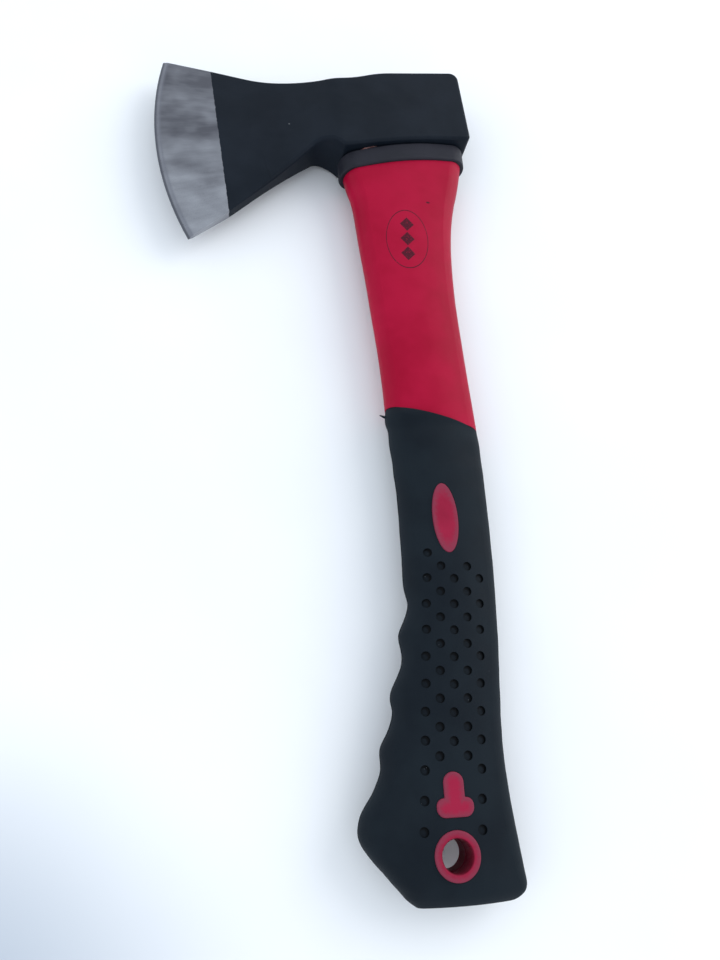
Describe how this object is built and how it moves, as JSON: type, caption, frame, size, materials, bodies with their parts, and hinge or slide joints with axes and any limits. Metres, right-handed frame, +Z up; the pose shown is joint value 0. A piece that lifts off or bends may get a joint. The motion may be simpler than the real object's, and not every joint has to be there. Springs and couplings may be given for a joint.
{
  "type": "hatchet",
  "caption": "Short one-hand hatchet: bearded forged head with a ground bit, plastic handle on a fibreglass bar, dimpled rubber grip and a lined hanging hole.",
  "frame": {"origin": "middle of the footprint, with the hatchet lying on the rear cheek of its head", "axes": "+X from the cutting edge towards the poll, +Y from the butt of the handle towards the head, +Z up out of the front face"},
  "size_m": [0.1456, 0.359, 0.023],
  "materials": {
    "head_paint": "satin black paint, with a bare brushed steel bit",
    "collar_rubber": "smooth dark rubber",
    "resin": "cast reddish-brown resin",
    "fibreglass": "pultruded glass fibre",
    "handle_plastic": "satin moulded red plastic",
    "grip_rubber": "matt black moulded rubber",
    "inlay_plastic": "matt moulded red plastic"
  },
  "bodies": {
    "root": {"axe_head": "head_paint", "neck_collar": "collar_rubber", "eye_resin": "resin", "fibreglass_core": "fibreglass", "handle_jacket": "handle_plastic", "grip_sleeve": "grip_rubber", "oval_inlay_front": "inlay_plastic", "oval_inlay_rear": "inlay_plastic", "tee_inlay_front": "inlay_plastic", "tee_inlay_rear": "inlay_plastic", "eyelet_front": "inlay_plastic", "eyelet_rear": "inlay_plastic"}
  },
  "joints": []
}
